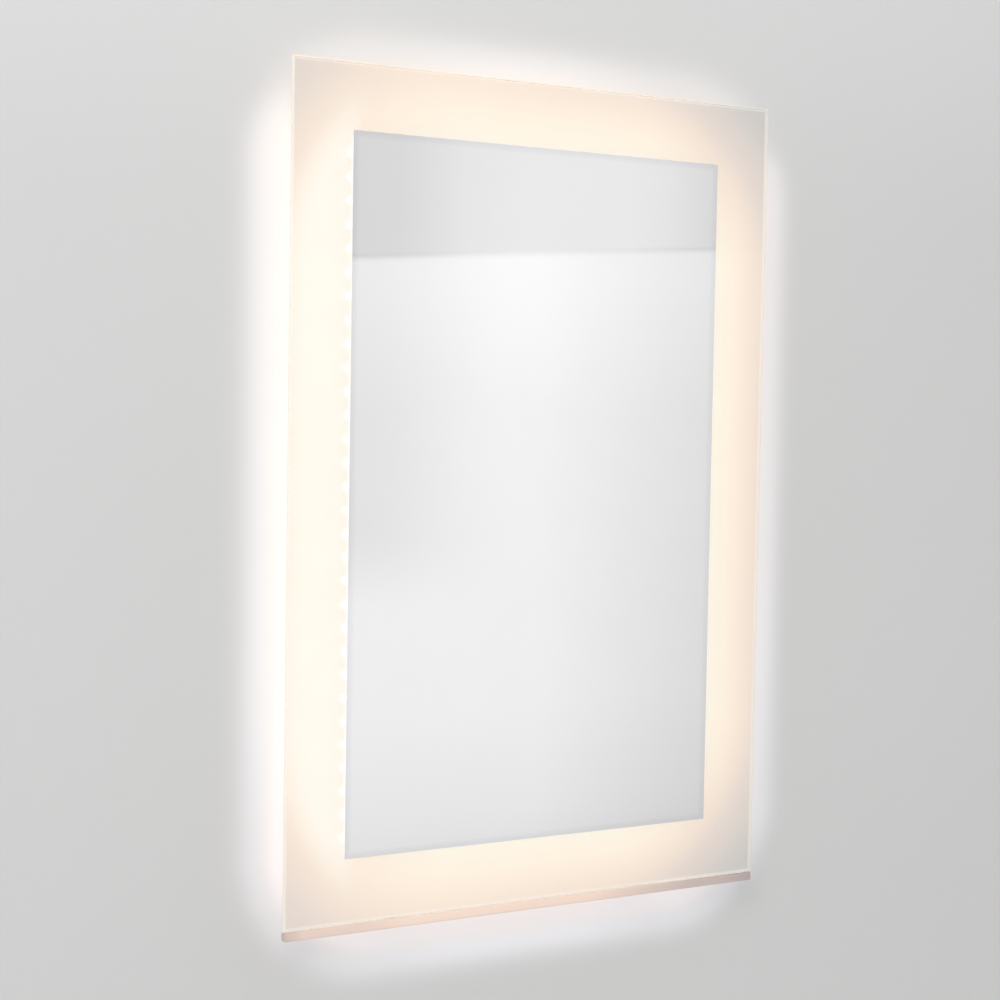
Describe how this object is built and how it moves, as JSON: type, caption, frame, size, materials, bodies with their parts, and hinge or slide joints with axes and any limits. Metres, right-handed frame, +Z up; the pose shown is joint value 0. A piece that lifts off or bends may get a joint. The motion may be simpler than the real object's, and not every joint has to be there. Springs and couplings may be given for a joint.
{
  "type": "lighted bathroom mirror",
  "caption": "Frameless back-lit wall mirror: silvered glass with a glowing frosted border on a slim aluminium frame that hangs on a wall cleat and lifts off.",
  "frame": {"origin": "on the wall plane, in the middle of the wall cleat's line of screws", "axes": "+Z up, +Y into the wall, so the mirror faces -Y; X runs to the right as seen from the room"},
  "size_m": [0.6096, 0.0441, 0.9242],
  "materials": {
    "clear_glass": "polished float glass, sand-blasted on the back of its border",
    "silvering": "mirror",
    "grey_film": "matte",
    "white_aluminium": "white powder coat",
    "zinc_steel": "zinc plated",
    "screw_steel": "bright zinc",
    "panel_steel": "white paint, satin",
    "foam": "closed-cell foam",
    "circuit_white": "white solder mask",
    "chip": "phosphor-filled resin",
    "lead_white": "soft insulation",
    "rail_acrylic": "frosted translucent",
    "bumper_rubber": "matte",
    "driver_plastic": "satin",
    "gland_plastic": "satin",
    "copper_braid": "tinned braid"
  },
  "bodies": {
    "wall_mount": {"wall_cleat": "zinc_steel"},
    "mirror": {"hanging_cleat": "zinc_steel", "cleat_screws": "screw_steel", "front_glass": "clear_glass", "silver_coating": "silvering", "backing_film": "grey_film", "frame_channel_left": "white_aluminium", "frame_channel_right": "white_aluminium", "frame_channel_top": "white_aluminium", "frame_channel_bottom": "white_aluminium", "corner_key_top_left": "screw_steel", "corner_key_top_right": "screw_steel", "corner_key_bottom_left": "screw_steel", "corner_key_bottom_right": "screw_steel", "foam_tape_left": "foam", "foam_tape_right": "foam", "foam_tape_top": "foam", "foam_tape_bottom": "foam", "light_strip_left": "circuit_white", "light_strip_right": "circuit_white", "light_strip_top": "circuit_white", "light_strip_bottom": "circuit_white", "light_chips_left": "chip", "light_chips_right": "chip", "light_chips_top": "chip", "light_chips_bottom": "chip", "corner_jumpers": "lead_white", "back_panel": "panel_steel", "panel_screws": "screw_steel", "bottom_rail": "rail_acrylic", "rail_bracket_left": "zinc_steel", "rail_bracket_right": "zinc_steel", "bracket_screws": "screw_steel", "rail_screws": "screw_steel", "wall_bumper_left": "bumper_rubber", "wall_bumper_right": "bumper_rubber", "driver_case": "driver_plastic", "driver_cover": "driver_plastic", "driver_screws": "screw_steel", "terminal_block": "driver_plastic", "wiring_cover": "zinc_steel", "cover_screws": "screw_steel", "supply_gland": "gland_plastic", "gland_nut": "gland_plastic", "earth_screw": "screw_steel", "earth_strap": "copper_braid", "input_leads": "lead_white", "output_lead": "lead_white", "lead_clips": "gland_plastic"}
  },
  "joints": [
    {"name": "lift_off", "type": "slide", "parent": "wall_mount", "child": "mirror", "axis": [0, 0, 1], "range_m": [0, 0.012]}
  ]
}
